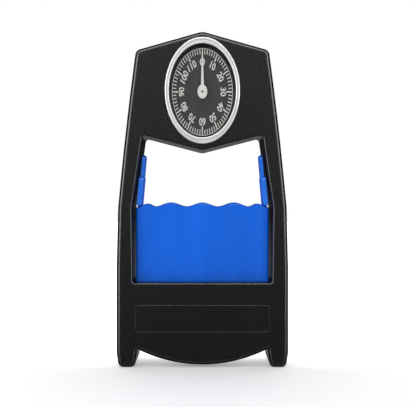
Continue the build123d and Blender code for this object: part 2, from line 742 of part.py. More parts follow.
def movement_screws():
    """The screws through the rear plate into the pillars."""
    screws = []
    for x, z in pillar_places():
        shank = rod(x, z, PILLAR_SCREW_RADIUS, SCREW_GAP, REAR_PLATE_BACK)
        head_back = REAR_PLATE_BACK + PILLAR_SCREW_RADIUS
        screws.append(shank + crossed_head(x, z, PILLAR_RADIUS, REAR_PLATE_BACK, head_back, True))
    return screws


def plate_screws():
    """The screws through the front plate's arms into the front shell's bosses."""
    screws = []
    for x, z in plate_screw_places():
        shank = rod(x, z, PLATE_SCREW_RADIUS, INSIDE_FRONT, PLATE_BACK)
        head_back = PLATE_BACK + PLATE_SCREW_RADIUS
        screws.append(shank + crossed_head(x, z, PLATE_SCREW_HEAD, PLATE_BACK, head_back, True))
    return screws


def rack_drawing():
    """The rack's outline in X and Z, with its teeth towards the pinion."""
    tooth_z = DIAL_Z - TOOTH_PITCH * round(RACK_MARGIN / TOOTH_PITCH)
    top = DIAL_Z + TRAVEL + RACK_MARGIN
    bottom = yoke_low(RACK_ROOT_X)
    body = sheet((RACK_ROOT_X, RACK_OUTER_X), (bottom, top))
    flank = tan(radians(PRESSURE_ANGLE))
    half = (TOOTH_PITCH - TOOTH_BACKLASH) / 4
    tip_x = PITCH_RADIUS - ADDENDUM
    root_half = half + DEDENDUM * flank
    tip_half = half - ADDENDUM * flank
    while tooth_z + root_half < top:
        tooth = Polyline(
            (RACK_ROOT_X, tooth_z - root_half), (tip_x, tooth_z - tip_half),
            (tip_x, tooth_z + tip_half), (RACK_ROOT_X, tooth_z + root_half), close=True,
        )
        body += make_face(tooth)
        tooth_z += TOOTH_PITCH
    return body


def yoke_low(x):
    """The height of the yoke's lower edge at a distance from the middle."""
    return YOKE_BOTTOM_Z + PEAK_SLOPE * abs(x)


def rack_screw_places():
    """Where the rack is screwed to the yoke."""
    x = (RACK_ROOT_X + RACK_OUTER_X) / 2
    low = yoke_low(x)
    return [(x, low + YOKE_HEIGHT * share) for share in RACK_SCREW_SHARES]


def rack():
    """The toothed strip on the yoke that turns the pinion."""
    strip = slab(rack_drawing(), RACK_FRONT, RACK_BACK)
    for x, z in rack_screw_places():
        strip -= rod(x, z, PILLAR_SCREW_RADIUS + SCREW_GAP, RACK_FRONT, RACK_BACK)
    return strip


def rack_screws():
    """The screws through the rack into the yoke."""
    screws = []
    for x, z in rack_screw_places():
        shank = rod(x, z, PILLAR_SCREW_RADIUS, RACK_FRONT, YOKE_BACK)
        head = rod(x, z, RACK_SCREW_HEAD, RACK_FRONT - PILLAR_SCREW_RADIUS, RACK_FRONT)
        screws.append(shank + head)
    return screws


def rack_guide():
    """The block on the rear plate that keeps the rack against the pinion."""
    inner = RACK_OUTER_X + RACK_GUIDE_GAP
    half = RACK_GUIDE_HEIGHT / 2
    return block(
        (inner, inner + RACK_GUIDE_WIDTH),
        (RACK_FRONT, REAR_PLATE_FRONT),
        (DIAL_Z + RACK_GUIDE_GAP - half / 2, DIAL_Z + half),
    )


def yoke_band():
    """The V-shaped band that the yoke and the stirrup's tabs are cut from."""
    half = YOKE_HALF
    low = [(0, yoke_low(0)), (half, yoke_low(half))]
    high = [(half, yoke_low(half) + YOKE_HEIGHT), (0, yoke_low(0) + YOKE_HEIGHT)]
    return make_face(Polyline(*low, *high, (-half, high[0][1]), (-half, low[1][1]), close=True))


def rivet_places():
    """Where the yoke is riveted to the stirrup's tabs."""
    inner = TAB_INNER_HALF + RIVET_HEAD_RADIUS
    outer = YOKE_HALF - RIVET_HEAD_RADIUS + 2 * SCREW_GAP
    spots = [(x, yoke_low(x) + YOKE_HEIGHT / 2) for x in (inner, outer)]
    spots[0] = (spots[0][0], spots[0][1] - RIVET_RADIUS)
    spots[1] = (spots[1][0], spots[1][1] + RIVET_RADIUS)
    return mirrored(spots)


def yoke():
    """The bar across the head that joins the stirrup's legs and carries the rack."""
    bar = slab(yoke_band(), YOKE_FRONT, YOKE_BACK)
    for x, z in rack_screw_places():
        bar -= rod(x, z, PILLAR_SCREW_RADIUS + SCREW_GAP, YOKE_FRONT, YOKE_BACK)
    for x, z in rivet_places():
        bar -= rod(x, z, RIVET_RADIUS + SCREW_GAP, YOKE_FRONT, YOKE_BACK)
    return bar


def yoke_rivets():
    """The rivets between the yoke and the stirrup, with a domed head at each end."""
    back = YOKE_BACK + STRIP_THICK
    rivets = []
    for x, z in rivet_places():
        shank = rod(x, z, RIVET_RADIUS, YOKE_FRONT, back)
        front_head = rod(x, z, RIVET_HEAD_RADIUS, YOKE_FRONT - RIVET_HEAD_HEIGHT, YOKE_FRONT)
        front_head = fillet(front_head.edges().sort_by(Axis.Y)[0], RIVET_HEAD_HEIGHT / 2)
        back_head = rod(x, z, RIVET_HEAD_RADIUS, back, back + RIVET_HEAD_HEIGHT)
        back_head = fillet(back_head.edges().sort_by(Axis.Y)[-1], RIVET_HEAD_HEIGHT / 2)
        rivets.append(shank + front_head + back_head)
    return rivets


def stirrup():
    """The bent strip under the grip, with a leg and a riveting tab on each side."""
    top_half = LEG_HALF - LEG_LEAN * (LEG_TOP_Z - LEG_BEND_Z)
    base_z = STRIP_TOP_Z - STRIP_THICK / 2
    right = [(LEG_HALF, base_z), (LEG_HALF, LEG_BEND_Z), (top_half, LEG_TOP_Z)]
    run = [(-x, z) for x, z in reversed(right)] + right
    path = FilletPolyline(*run, radius=STRIP_BEND)
    strip = slab(trace(path, line_width=STRIP_THICK), -STRIP_DEPTH / 2, STRIP_DEPTH / 2)
    band = yoke_band() & sheet((TAB_INNER_HALF, YOKE_HALF), (0, HEIGHT))
    bridge = sheet((YOKE_HALF - SCREW_GAP, top_half), (LEG_TOP_Z - YOKE_HEIGHT, LEG_TOP_Z))
    strip += pair(slab(band + bridge, YOKE_BACK, YOKE_BACK + STRIP_THICK))
    for x, z in rivet_places():
        strip -= rod(x, z, RIVET_RADIUS + SCREW_GAP, YOKE_BACK, YOKE_BACK + STRIP_THICK)
    for x in (-STIRRUP_SCREW_HALF, STIRRUP_SCREW_HALF):
        strip -= upright(x, GRIP_SCREW_RADIUS + SCREW_GAP, STRIP_BOTTOM_Z, STRIP_TOP_Z)
    return strip


def stirrup_screws():
    """The screws up through the stirrup into the cradle's web."""
    screws = []
    for x in (-STIRRUP_SCREW_HALF, STIRRUP_SCREW_HALF):
        head = upright(x, GRIP_SCREW_HEAD, STRIP_BOTTOM_Z - CUP_THICK, STRIP_BOTTOM_Z)
        shank = upright(
            x, GRIP_SCREW_RADIUS, STRIP_BOTTOM_Z, STRIP_TOP_Z + STIRRUP_SCREW_LENGTH
        )
        screws.append(head + shank)
    return screws


def arm_drawing():
    """One arm seen from the front: a thick lower part, a step and a thin tongue."""
    step_half = ARM_OUTER_HALF - ARM_LEAN * (ARM_STEP_Z - ARM_BASE_Z)
    tongue_half = step_half - TONGUE_SETBACK
    top_half = tongue_half - ARM_LEAN * (ARM_TOP_Z - ARM_STEP_Z)
    lower = Polyline(
        (ARM_OUTER_HALF, ARM_BASE_Z), (step_half, ARM_STEP_Z),
        (step_half - ARM_THICK, ARM_STEP_Z), (ARM_OUTER_HALF - ARM_THICK, ARM_BASE_Z),
        close=True,
    )
    tongue = Polyline(
        (tongue_half, ARM_STEP_Z), (top_half, ARM_TOP_Z),
        (top_half - TONGUE_THICK, ARM_TOP_Z), (tongue_half - TONGUE_THICK, ARM_STEP_Z),
        close=True,
    )
    lower = make_face(lower)
    lower = fillet(lower.vertices().sort_by(Axis.Y)[-2:], ARM_THICK / 4)
    tongue = make_face(tongue)
    tips = tongue.vertices().sort_by(Axis.Y)[-2:]
    tongue = fillet(tips, TONGUE_THICK * TONGUE_TIP_SHARE)
    return lower, tongue


def side_profile(depth, bottom, top, rounding):
    """A tall plate seen from the side, with its two top corners rounded."""
    flat = Pos(0, (bottom + top) / 2) * Rectangle(depth, top - bottom)
    flat = fillet(flat.vertices().sort_by(Axis.Y)[-2:], rounding)
    return extrude(Plane.YZ * flat, amount=HIP_HALF)


def grip_arm():
    """The right arm, which stands beside the rail's inner wall."""
    lower, tongue = arm_drawing()
    lower = slab(lower, -ARM_DEPTH / 2, ARM_DEPTH / 2)
    lower &= side_profile(ARM_DEPTH, ARM_BASE_Z, ARM_STEP_Z, ARM_DEPTH / 8)
    sunk = ARM_STEP_Z - ARM_THICK
    tongue = slab(tongue, -TONGUE_DEPTH / 2, TONGUE_DEPTH / 2)
    tongue &= side_profile(TONGUE_DEPTH, sunk, ARM_TOP_Z, TONGUE_DEPTH / 4)
    return lower + tongue


def cradle_web(growth):
    """The cradle's flat inside the grip, with a neck up to each arm."""
    half = CRADLE_HALF + growth
    reach = CRADLE_WEB / 2 + growth
    web = block((-half, half), (-reach, reach), (CRADLE_BASE_Z - growth, CRADLE_TOP_Z + growth))
    inner = ARM_OUTER_HALF - ARM_THICK - growth
    outer = ARM_OUTER_HALF - ARM_LEAN + growth
    root = CRADLE_TOP_Z - (CRADLE_TOP_Z - CRADLE_BASE_Z) * CRADLE_NECK_SHARE
    neck = block((inner, outer), (-reach, reach), (root, ARM_BASE_Z + growth))
    shoulder = block(
        (inner - CRADLE_WEB, outer), (-reach, reach), (root - growth, CRADLE_TOP_Z + growth)
    )
    return web + pair(neck + shoulder)


def grip_screw_places():
    """Where the grip's halves are screwed together."""
    height = CRADLE_TOP_Z - CRADLE_BASE_Z
    rows = [CRADLE_BASE_Z + height * share for share in GRIP_SCREW_SHARES]
    return [(x, z) for x in (-GRIP_SCREW_HALF, GRIP_SCREW_HALF) for z in rows]


def grip_cradle():
    """The U-shaped carrier: a web inside the grip and two arms beside the rails."""
    cradle = cradle_web(0) + pair(grip_arm())
    for x, z in grip_screw_places():
        cradle -= rod(x, z, GRIP_SCREW_RADIUS + SCREW_GAP, -CRADLE_WEB, CRADLE_WEB)
    for x in (-STIRRUP_SCREW_HALF, STIRRUP_SCREW_HALF):
        top = STRIP_TOP_Z + STIRRUP_SCREW_LENGTH + SCREW_GAP
        cradle -= upright(x, GRIP_SCREW_RADIUS + SCREW_GAP, CRADLE_BASE_Z, top)
    return cradle


def wave_points():
    """The waved top edge from left to right: places and shares of the wave's height."""
    quarter = FINGER_PITCH / 4
    count = 4 * VALLEYS_A_SIDE - 2
    grooves = [(n * quarter, (1 + cos(n * pi / 2)) / 2) for n in range(-count, count + 1)]
    last = count * quarter
    crest = (last + GRIP_WAVE_HALF) / 2
    side = [
        ((last + crest) / 2, OUTER_CREST_SHARE / 2), (crest, OUTER_CREST_SHARE),
        ((crest + GRIP_WAVE_HALF) / 2, OUTER_CREST_SHARE / 2), (GRIP_WAVE_HALF, 0),
    ]
    return [(-x, share) for x, share in reversed(side)] + grooves + side


def grip_drawing():
    """The grip seen from the front, with its waved top edge."""
    run = [(x, GRIP_VALLEY_Z + GRIP_WAVE * share) for x, share in wave_points()]
    top = Spline(*run, tangents=[(1, 0), (1, 0)])
    sides = Polyline(
        run[-1], (GRIP_HALF, GRIP_VALLEY_Z), (GRIP_HALF, GRIP_BOTTOM_Z),
        (-GRIP_HALF, GRIP_BOTTOM_Z), (-GRIP_HALF, GRIP_VALLEY_Z), run[0],
    )
    drawing = make_face(top + sides)
    return soften(drawing, [(GRIP_HALF, GRIP_VALLEY_Z)], GRIP_CORNER_ROUND)


def finger_flutes():
    """Shallow upright hollows in the grip's faces, one under each finger groove."""
    half = FINGER_PITCH / 2 - GRIP_CORNER_ROUND
    radius = (half**2 + GRIP_FLUTE**2) / (2 * GRIP_FLUTE)
    away = GRIP_DEPTH / 2 - GRIP_FLUTE + radius
    flutes = []
    for valley in range(VALLEYS_A_SIDE):
        for y in (-away, away):
            flute = Pos((valley + 1 / 2) * FINGER_PITCH, y, 0) * Cylinder(radius, 2 * HEIGHT)
            flutes.append(pair(flute))
    return flutes


def grip_body():
    """The whole grip as one form, before it is parted into halves."""
    body = slab(grip_drawing(), -GRIP_DEPTH / 2, GRIP_DEPTH / 2)
    rims = [edge for face in body.faces().filter_by(Plane.XZ) for edge in face.edges()]
    rounded = [edge for edge in rims if edge.center().Z > GRIP_BOTTOM_Z + GRIP_TOP_ROUND]
    body = fillet(rounded, GRIP_TOP_ROUND)
    for flute in finger_flutes():
        body -= flute
    return body - cradle_web(CRADLE_GAP)


def grip_front():
    """The grip's front half, with the screw holes stopping inside it."""
    half = grip_body() & block((-GRIP_HALF, GRIP_HALF), (-GRIP_DEPTH, 0), (0, HEIGHT))
    for x, z in grip_screw_places():
        half -= rod(x, z, GRIP_SCREW_RADIUS + SCREW_GAP, -GRIP_DEPTH / 3, 0)
    return half


def grip_rear():
    """The grip's rear half, with sunk holes for the screw heads."""
    half = grip_body() & block((-GRIP_HALF, GRIP_HALF), (0, GRIP_DEPTH), (0, HEIGHT))
    sink = GRIP_DEPTH / 2 - GRIP_SCREW_HEAD
    for x, z in grip_screw_places():
        half -= rod(x, z, GRIP_SCREW_RADIUS + SCREW_GAP, 0, GRIP_DEPTH)
        half -= rod(x, z, GRIP_SCREW_HEAD + SCREW_GAP, sink, GRIP_DEPTH)
    return half


def grip_screws():
    """The screws from the rear half through the cradle into the front half."""
    sink = GRIP_DEPTH / 2 - GRIP_SCREW_HEAD
    screws = []
    for x, z in grip_screw_places():
        shank = rod(x, z, GRIP_SCREW_RADIUS, -GRIP_DEPTH / 3 + SCREW_GAP, sink)
        head = crossed_head(x, z, GRIP_SCREW_HEAD, sink, sink + GRIP_SCREW_RADIUS, True)
        screws.append(shank + head)
    return screws


def return_buffers():
    """Rubber pads on the stirrup that meet the bottom bar's top wall at rest."""
    outer = LEG_HALF - STRIP_THICK / 2 - BUFFER_LEG_GAP
    top = OPENING_FLOOR_Z - SIDE_WALL - BUFFER_GAP
    reach = STRIP_DEPTH / 2
    pad = block((outer - BUFFER_WIDTH, outer), (-reach, reach), (STRIP_TOP_Z, top))
    return [pad, mirror(pad, about=Plane.YZ)]


def spring_cups():
    """The cups under the stirrup that push on the springs."""
    disc = upright(SPRING_HALF, SPRING_RADIUS + SEAT_MARGIN / 2, CUP_BOTTOM_Z, STRIP_BOTTOM_Z)
    post = upright(
        SPRING_HALF, SPRING_POST_RADIUS, CUP_BOTTOM_Z - SPRING_POST_HEIGHT, CUP_BOTTOM_Z
    )
    cup = disc + post
    return [cup, mirror(cup, about=Plane.YZ)]


def spring_seats():
    """The seats in the belly that the springs stand on."""
    disc = upright(SPRING_HALF, SPRING_RADIUS + SEAT_MARGIN / 2, SEAT_PAD_Z, SEAT_TOP_Z)
    post = upright(
        SPRING_HALF, SPRING_POST_RADIUS, SEAT_TOP_Z, SEAT_TOP_Z + SPRING_POST_HEIGHT
    )
    seat = disc + post
    return [seat, mirror(seat, about=Plane.YZ)]


def load_spring(x):
    """One compression spring between its seat and its cup."""
    radius = SPRING_RADIUS - SPRING_WIRE / 2
    height = CUP_BOTTOM_Z - SEAT_TOP_Z - SPRING_WIRE
    coil = Helix(height / SPRING_TURNS, height, radius)
    section = Plane(coil @ 0, z_dir=coil % 0) * Circle(SPRING_WIRE / 2)
    spring = sweep(section, path=coil, is_frenet=True)
    return Pos(x, 0, SEAT_TOP_Z + SPRING_WIRE / 2) * spring


def all_pieces():
    """Every node's name with its solid or solids."""
    hollow = hollow_frame()
    return {
        "front_shell": front_shell(hollow),
        "rear_shell": rear_shell(hollow),
        "shell_screws": shell_screws(),
        "dial_bezel": dial_bezel(),
        "dial_lens": dial_lens(),
        "lens_gasket": lens_gasket(),
        "dial_plate": dial_plate(),
        "dial_screws": dial_screws(),
        "pointer": pointer(),
        "pinion_arbor": pinion_arbor(),
        "front_bush": front_bush(),
        "rear_bush": rear_bush(),
        "front_movement_plate": front_movement_plate(),
        "rear_movement_plate": rear_movement_plate(),
        "movement_pillars": movement_pillars(),
        "movement_screws": movement_screws(),
        "plate_screws": plate_screws(),
        "rack": rack(),
        "rack_screws": rack_screws(),
        "rack_guide": rack_guide(),
        "yoke": yoke(),
        "yoke_rivets": yoke_rivets(),
        "stirrup": stirrup(),
        "stirrup_screws": stirrup_screws(),
        "grip_cradle": grip_cradle(),
        "grip_front": grip_front(),
        "grip_rear": grip_rear(),
        "grip_screws": grip_screws(),
        "return_buffers": return_buffers(),
        "spring_cups": spring_cups(),
        "spring_seats": spring_seats(),
        "load_spring_left": load_spring(-SPRING_HALF),
        "load_spring_right": load_spring(SPRING_HALF),
    }


def write_pieces():
    """Write each node to its own file, with the whole depth centred on Y = 0."""
    os.makedirs("parts", exist_ok=True)
    centred = Pos(0, BEZEL_PROUD / 2, 0)
    for name, piece in all_pieces().items():
        solids = [centred * solid for one in as_list(piece) for solid in one.solids()]
        whole = solids[0] if len(solids) == 1 else Compound(children=solids)
        export_step(whole, f"parts/{name}.step")


def as_list(piece):
    """A node's shapes as a list, whether it has one or several."""
    return piece if isinstance(piece, list) else [piece]


write_pieces()
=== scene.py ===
import logging
import math
from dataclasses import dataclass
from enum import Enum

import bpy
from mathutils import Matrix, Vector


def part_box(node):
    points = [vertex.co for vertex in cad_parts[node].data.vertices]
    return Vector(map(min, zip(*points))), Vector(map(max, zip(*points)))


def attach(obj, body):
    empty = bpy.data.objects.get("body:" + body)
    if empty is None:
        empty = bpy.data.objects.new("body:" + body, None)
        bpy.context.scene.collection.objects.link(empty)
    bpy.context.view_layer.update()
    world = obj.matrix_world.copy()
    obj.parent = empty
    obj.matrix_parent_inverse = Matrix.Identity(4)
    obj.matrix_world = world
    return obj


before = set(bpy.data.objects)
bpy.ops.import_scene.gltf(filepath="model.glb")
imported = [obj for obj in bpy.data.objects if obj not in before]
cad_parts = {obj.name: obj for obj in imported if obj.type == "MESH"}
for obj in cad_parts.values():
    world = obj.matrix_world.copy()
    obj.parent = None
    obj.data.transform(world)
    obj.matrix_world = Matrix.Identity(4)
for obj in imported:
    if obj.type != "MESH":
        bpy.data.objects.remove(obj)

# Hand dynamometer with an oval needle dial in a black moulded frame and a blue sliding grip.
# Blender works in metres: X runs to the right, Y to the back and Z up, as in the CAD frame.

MM = 0.001
# the six sides of a bar whose corners run round its top (0 to 3) and its foot (4 to 7)
BAR_FACES = (
    (3, 2, 1, 0),
    (4, 5, 6, 7),
    (0, 1, 5, 4),
    (1, 2, 6, 5),
    (2, 3, 7, 6),
    (3, 0, 4, 7),
)
# noise keeps mostly between these two values
NOISE_LOW = 0.3
NOISE_HIGH = 0.7
# how much of a letter's nominal size its capitals and figures take
FIGURE_SHARE = 0.72
log = logging.getLogger("dynamometer")


class Body(Enum):
    """The bodies of the mechanism that a piece can ride on."""

    HOUSING = "housing"
    GRIP = "grip"
    POINTER = "pointer"


def linear(colour: str) -> tuple[float, float, float, float]:
    """Turn an sRGB hex value to Blender's linear colour.

    Args:
        colour: six hex digits after a hash sign.

    Returns:
        Linear red, green and blue, and an alpha of 1.
    """
    channels = [int(colour[start : start + 2], 16) / 255 for start in (1, 3, 5)]
    red, green, blue = (
        value / 12.92 if value <= 0.04045 else ((value + 0.055) / 1.055) ** 2.4
        for value in channels
    )
    return red, green, blue, 1.0


def add_node(
    tree: bpy.types.NodeTree, kind: str, inputs: dict | None = None, **settings: object
) -> bpy.types.Node:
    """Add a shader node with its settings, values and links.

    Args:
        tree: the node tree that gets the node.
        kind: the node's type name.
        inputs: a value or a socket to link from, by input name or number.
        settings: the node's own properties.

    Returns:
        The new node.
    """
    node = tree.nodes.new(kind)
    for name, value in settings.items():
        setattr(node, name, value)
    for name, value in (inputs or {}).items():
        if isinstance(value, bpy.types.NodeSocket):
            tree.links.new(value, node.inputs[name])
        else:
            node.inputs[name].default_value = value
    return node


def stretched(
    tree: bpy.types.NodeTree, value: bpy.types.NodeSocket, low: float, high: float
) -> bpy.types.NodeSocket:
    """Stretch a noise between two values.

    Args:
        tree: the tree that gets the node.
        value: the noise.
        low: what its dark end becomes.
        high: what its bright end becomes.

    Returns:
        The stretched value.
    """
    spans = {"From Min": NOISE_LOW, "From Max": NOISE_HIGH, "To Min": low, "To Max": high}
    stretch = add_node(tree, "ShaderNodeMapRange", {"Value": value, **spans})
    return stretch.outputs["Result"]


@dataclass(frozen=True)
class Finish:
    """What every finish has: its name, its colour and how rough it is."""

    name: str
    colour: str
    roughness: float

    def begin(self) -> tuple[bpy.types.NodeTree, bpy.types.Node, bpy.types.NodeSocket]:
        """Start the material with its shader and the surface's own coordinates.

        Returns:
            The node tree, the shader and the coordinates, which are in metres.
        """
        material = bpy.data.materials.new(self.name)
        material.use_nodes = True
        tree = material.node_tree
        shader = tree.nodes["Principled BSDF"]
        shader.inputs["Base Color"].default_value = linear(self.colour)
        shader.inputs["Roughness"].default_value = self.roughness
        return tree, shader, add_node(tree, "ShaderNodeTexCoord").outputs["Object"]

    def dress(self, piece: bpy.types.Object) -> None:
        """Give a piece this finish, in all its material slots.

        Args:
            piece: the object to finish.
        """
        material = bpy.data.materials.get(self.name) or self.make()
        slots = piece.data.materials
        slots.clear()
        slots.append(material)

    def make(self) -> bpy.types.Material:
        """Build the material; each kind of finish has its own way."""
        raise NotImplementedError


@dataclass(frozen=True)
class MouldedPlastic(Finish):
    """ABS moulded in a spark-eroded tool: a satin skin of tiny pits, a little uneven in gloss."""

    # the second colour: a random darker tone in the clouds, and painted shade where the clouds are
    # drawn out into bands
    tone_and_painted_shade: str = "#000000"
    tone_and_painted_shade_share: float = 0.25
    grain_mm: float = 0.5
    grain_depth_mm: float = 0.005
    gloss_spread: float = 0.03
    cloud_mm: float = 18.0
    # upright bands of painted light and shade in the colour: their width, and how far they are
    # drawn out upright
    painted_band_mm: float = 0.0
    painted_band_stretch: float = 12.0
    ior: float = 1.53

    def make(self) -> bpy.types.Material:
        """Build the plastic: grain in bump and gloss, soft clouds in colour or upright bands of
        painted light and shade.

        Returns:
            The finished material.
        """
        tree, shader, place = self.begin()
        grain = add_node(
            tree,
            "ShaderNodeTexNoise",
            {"Vector": place, "Scale": 1 / (self.grain_mm * MM), "Detail": 2.0},
        )
        # broad clouds of slightly uneven gloss and colour, as the melt leaves them; where a band
        # size is given they are drawn out into upright bands of painted light and shade
        cloud = add_node(
            tree,
            "ShaderNodeTexNoise",
            {"Vector": self.cloud_place(tree, place), "Scale": 1.0, "Detail": 1.0},
        )
        tint = add_node(
            tree,
            "ShaderNodeMix",
            {
                "A": linear(self.colour),
                "B": linear(self.tone_and_painted_shade),
                "Factor": stretched(tree, cloud.outputs["Fac"], 0.0, self.tone_and_painted_shade_share),
            },
            data_type="RGBA",
        )
        gloss = stretched(
            tree,
            grain.outputs["Fac"],
            self.roughness - self.gloss_spread,
            self.roughness + self.gloss_spread,
        )
        bump = add_node(
            tree,
            "ShaderNodeBump",
            {"Height": grain.outputs["Fac"], "Distance": self.grain_depth_mm * MM},
        )
        tree.links.new(tint.outputs["Result"], shader.inputs["Base Color"])
        tree.links.new(gloss, shader.inputs["Roughness"])
        tree.links.new(bump.outputs["Normal"], shader.inputs["Normal"])
        shader.inputs["IOR"].default_value = self.ior
        return bpy.data.materials[self.name]

    def cloud_place(
        self, tree: bpy.types.NodeTree, place: bpy.types.NodeSocket
    ) -> bpy.types.NodeSocket:
        """Scale the coordinates for the clouds, drawn out upright into bands of painted light and
        shade where a band size is given.

        Args:
            tree: the material's nodes.
            place: the surface's coordinates.

        Returns:
            The scaled coordinates.
        """
        across = 1 / ((self.painted_band_mm or self.cloud_mm) * MM)
        up = across / self.painted_band_stretch if self.painted_band_mm else across
        mapping = add_node(
            tree, "ShaderNodeMapping", {"Vector": place, "Scale": (across, across, up)}
        )
        return mapping.outputs["Vector"]


@dataclass(frozen=True)
class TurnedMetal(Finish):
    """Metal turned or rolled smooth: bright, with fine lines that run round or along it."""

    line_mm: float = 0.5
    line_depth_mm: float = 0.004
    gloss_below: float = 0.05
    gloss_above: float = 0.07
    round_centre_mm: tuple[float, float] | None = None
    round_halves_mm: tuple[float, float] = (1.0, 1.0)
    direction: tuple[float, float, float] = (1.0, 1.0, 1.0)
    metallic: float = 1.0

    def make(self) -> bpy.types.Material:
        """Build the metal: fine lines in bump and in gloss.

        Returns:
            The finished material.
        """
        tree, shader, place = self.begin()
        shader.inputs["Metallic"].default_value = self.metallic
        if self.round_centre_mm:
            lines = self.rings(tree, place)
        else:
            scale = tuple(part / (self.line_mm * MM) for part in self.direction)
            spread = add_node(tree, "ShaderNodeMapping", {"Vector": place, "Scale": scale})
            lines = add_node(
                tree, "ShaderNodeTexNoise", {"Vector": spread.outputs["Vector"], "Scale": 1.0}
            )
        gloss = stretched(
            tree,
            lines.outputs["Fac"],
            self.roughness - self.gloss_below,
            self.roughness + self.gloss_above,
        )
        bump = add_node(
            tree,
            "ShaderNodeBump",
            {"Height": lines.outputs["Fac"], "Distance": self.line_depth_mm * MM},
        )
        tree.links.new(gloss, shader.inputs["Roughness"])
        tree.links.new(bump.outputs["Normal"], shader.inputs["Normal"])
        return bpy.data.materials[self.name]

    def rings(
        self, tree: bpy.types.NodeTree, place: bpy.types.NodeSocket
    ) -> bpy.types.Node:
        """Draw noise in oval rings about a centre, as the turning tool leaves them.

        Args:
            tree: the material's nodes.
            place: the surface's coordinates.

        Returns:
            The noise node.
        """
        x, z = self.round_centre_mm
        half_width, half_height = self.round_halves_mm
        centred = add_node(
            tree, "ShaderNodeVectorMath", {0: place, 1: (x * MM, 0, z * MM)}, operation="SUBTRACT"
        )
        squeezed = add_node(
            tree,
            "ShaderNodeVectorMath",
            {0: centred.outputs["Vector"], 1: (half_height / half_width, 0.0, 1.0)},
            operation="MULTIPLY",
        )
        reach = add_node(
            tree, "ShaderNodeVectorMath", {0: squeezed.outputs["Vector"]}, operation="LENGTH"
        )
        return add_node(
            tree,
            "ShaderNodeTexNoise",
            {"W": reach.outputs["Value"], "Scale": 1 / (self.line_mm * MM), "Detail": 1.0},
            noise_dimensions="1D",
        )


@dataclass(frozen=True)
class Enamel(Finish):
    """Baked or screen-printed paint: even colour with the faint ripple of a dried film."""

    ripple_mm: float = 0.8
    ripple_depth_mm: float = 0.003
    fleck: float = 0.12

    def make(self) -> bpy.types.Material:
        """Build the paint: a soft ripple in bump and flecks in colour.

        Returns:
            The finished material.
        """
        tree, shader, place = self.begin()
        film = add_node(
            tree,
            "ShaderNodeTexNoise",
            {"Vector": place, "Scale": 1 / (self.ripple_mm * MM), "Detail": 3.0},
        )
        fade = stretched(tree, film.outputs["Fac"], 1 - self.fleck, 1.0)
        tint = add_node(
            tree,
            "ShaderNodeMix",
            {"A": linear("#000000"), "B": linear(self.colour), "Factor": fade},
            data_type="RGBA",
        )
        bump = add_node(
            tree,
            "ShaderNodeBump",
            {"Height": film.outputs["Fac"], "Distance": self.ripple_depth_mm * MM},
        )
        tree.links.new(tint.outputs["Result"], shader.inputs["Base Color"])
        tree.links.new(bump.outputs["Normal"], shader.inputs["Normal"])
        return bpy.data.materials[self.name]


@dataclass(frozen=True)
class ClearPlastic(Finish):
    """Clear acrylic sheet: it shows what lies behind, under a soft gloss."""

    alpha: float = 0.06
    ior: float = 1.49
    haze_mm: float = 6.0

    def make(self) -> bpy.types.Material:
        """Build the clear sheet, with a trace of moulding haze in its gloss.

        Returns:
            The finished material.
        """
        tree, shader, place = self.begin()
        shader.inputs["Alpha"].default_value = self.alpha
        shader.inputs["IOR"].default_value = self.ior
        haze = add_node(
            tree,
            "ShaderNodeTexNoise",
            {"Vector": place, "Scale": 1 / (self.haze_mm * MM), "Detail": 1.0},
        )
        gloss = add_node(
            tree,
            "ShaderNodeMapRange",
            {"Value": haze.outputs["Fac"], "To Min": 0.0, "To Max": 2 * self.roughness},
        )
        tree.links.new(gloss.outputs["Result"], shader.inputs["Roughness"])
        return bpy.data.materials[self.name]


BLACK_ABS = MouldedPlastic("black moulded ABS", "#0d0d0d", 0.27, tone_and_painted_shade="#141414")
# the grip's blue is painted in upright bands of light and shade, with the shade colour at their
# dark side
BLUE_ABS = MouldedPlastic(
    "blue moulded ABS",
    "#0060da",
    0.26,
    tone_and_painted_shade="#0052be",
    tone_and_painted_shade_share=0.5,
    painted_band_mm=9.0,
    ior=1.36,
)
# the arms' blue is lighter than the grip's: a painted highlight
BLUE_NYLON_PAINTED_HIGHLIGHT = MouldedPlastic("blue nylon arms with painted highlight", "#0874f4", 0.3, tone_and_painted_shade="#0660d4")
WHITE_NYLON = MouldedPlastic("white moulded nylon", "#d8d4c8", 0.5, tone_and_painted_shade="#b8b4a8")
BLACK_RUBBER = MouldedPlastic(
    "black moulded rubber", "#101010", 0.75, tone_and_painted_shade="#1c1c1c", grain_mm=0.3
)
DIAL_Z_MM = 166.4
BEZEL_METAL = TurnedMetal(
    "bright turned aluminium",
    "#e8e8e8",
    0.28,
    round_centre_mm=(0.0, DIAL_Z_MM),
    round_halves_mm=(22.5, 31.9),
    metallic=0.62,
)
BRASS = TurnedMetal("drawn brass", "#c9a14a", 0.3)
DULL_BRASS = TurnedMetal("dull brass arbor", "#75653c", 0.4, metallic=0.6)
ZINC_STEEL = TurnedMetal("zinc plated steel", "#c4c6c8", 0.34)
SPRING_STEEL = TurnedMetal("oiled spring steel", "#6a6662", 0.32)
DIAL_ENAMEL = Enamel("charcoal dial enamel", "#202020", 0.5)
DIAL_INK = Enamel("white dial ink", "#dededa", 0.6, fleck=0.05)
NEEDLE_ENAMEL = Enamel("white needle enamel", "#e2e2de", 0.4, fleck=0.04)
LENS_ACRYLIC = ClearPlastic("clear acrylic", "#0c0c0c", 0.05)


def carry(node: str, finish: Finish) -> None:
    """Keep a CAD node as it is and give it its finish.

    Args:
        node: the node's name.
        finish: what it is made of.
    """
    finish.dress(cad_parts[node])
    log.info("%s: %s", node, finish.name)


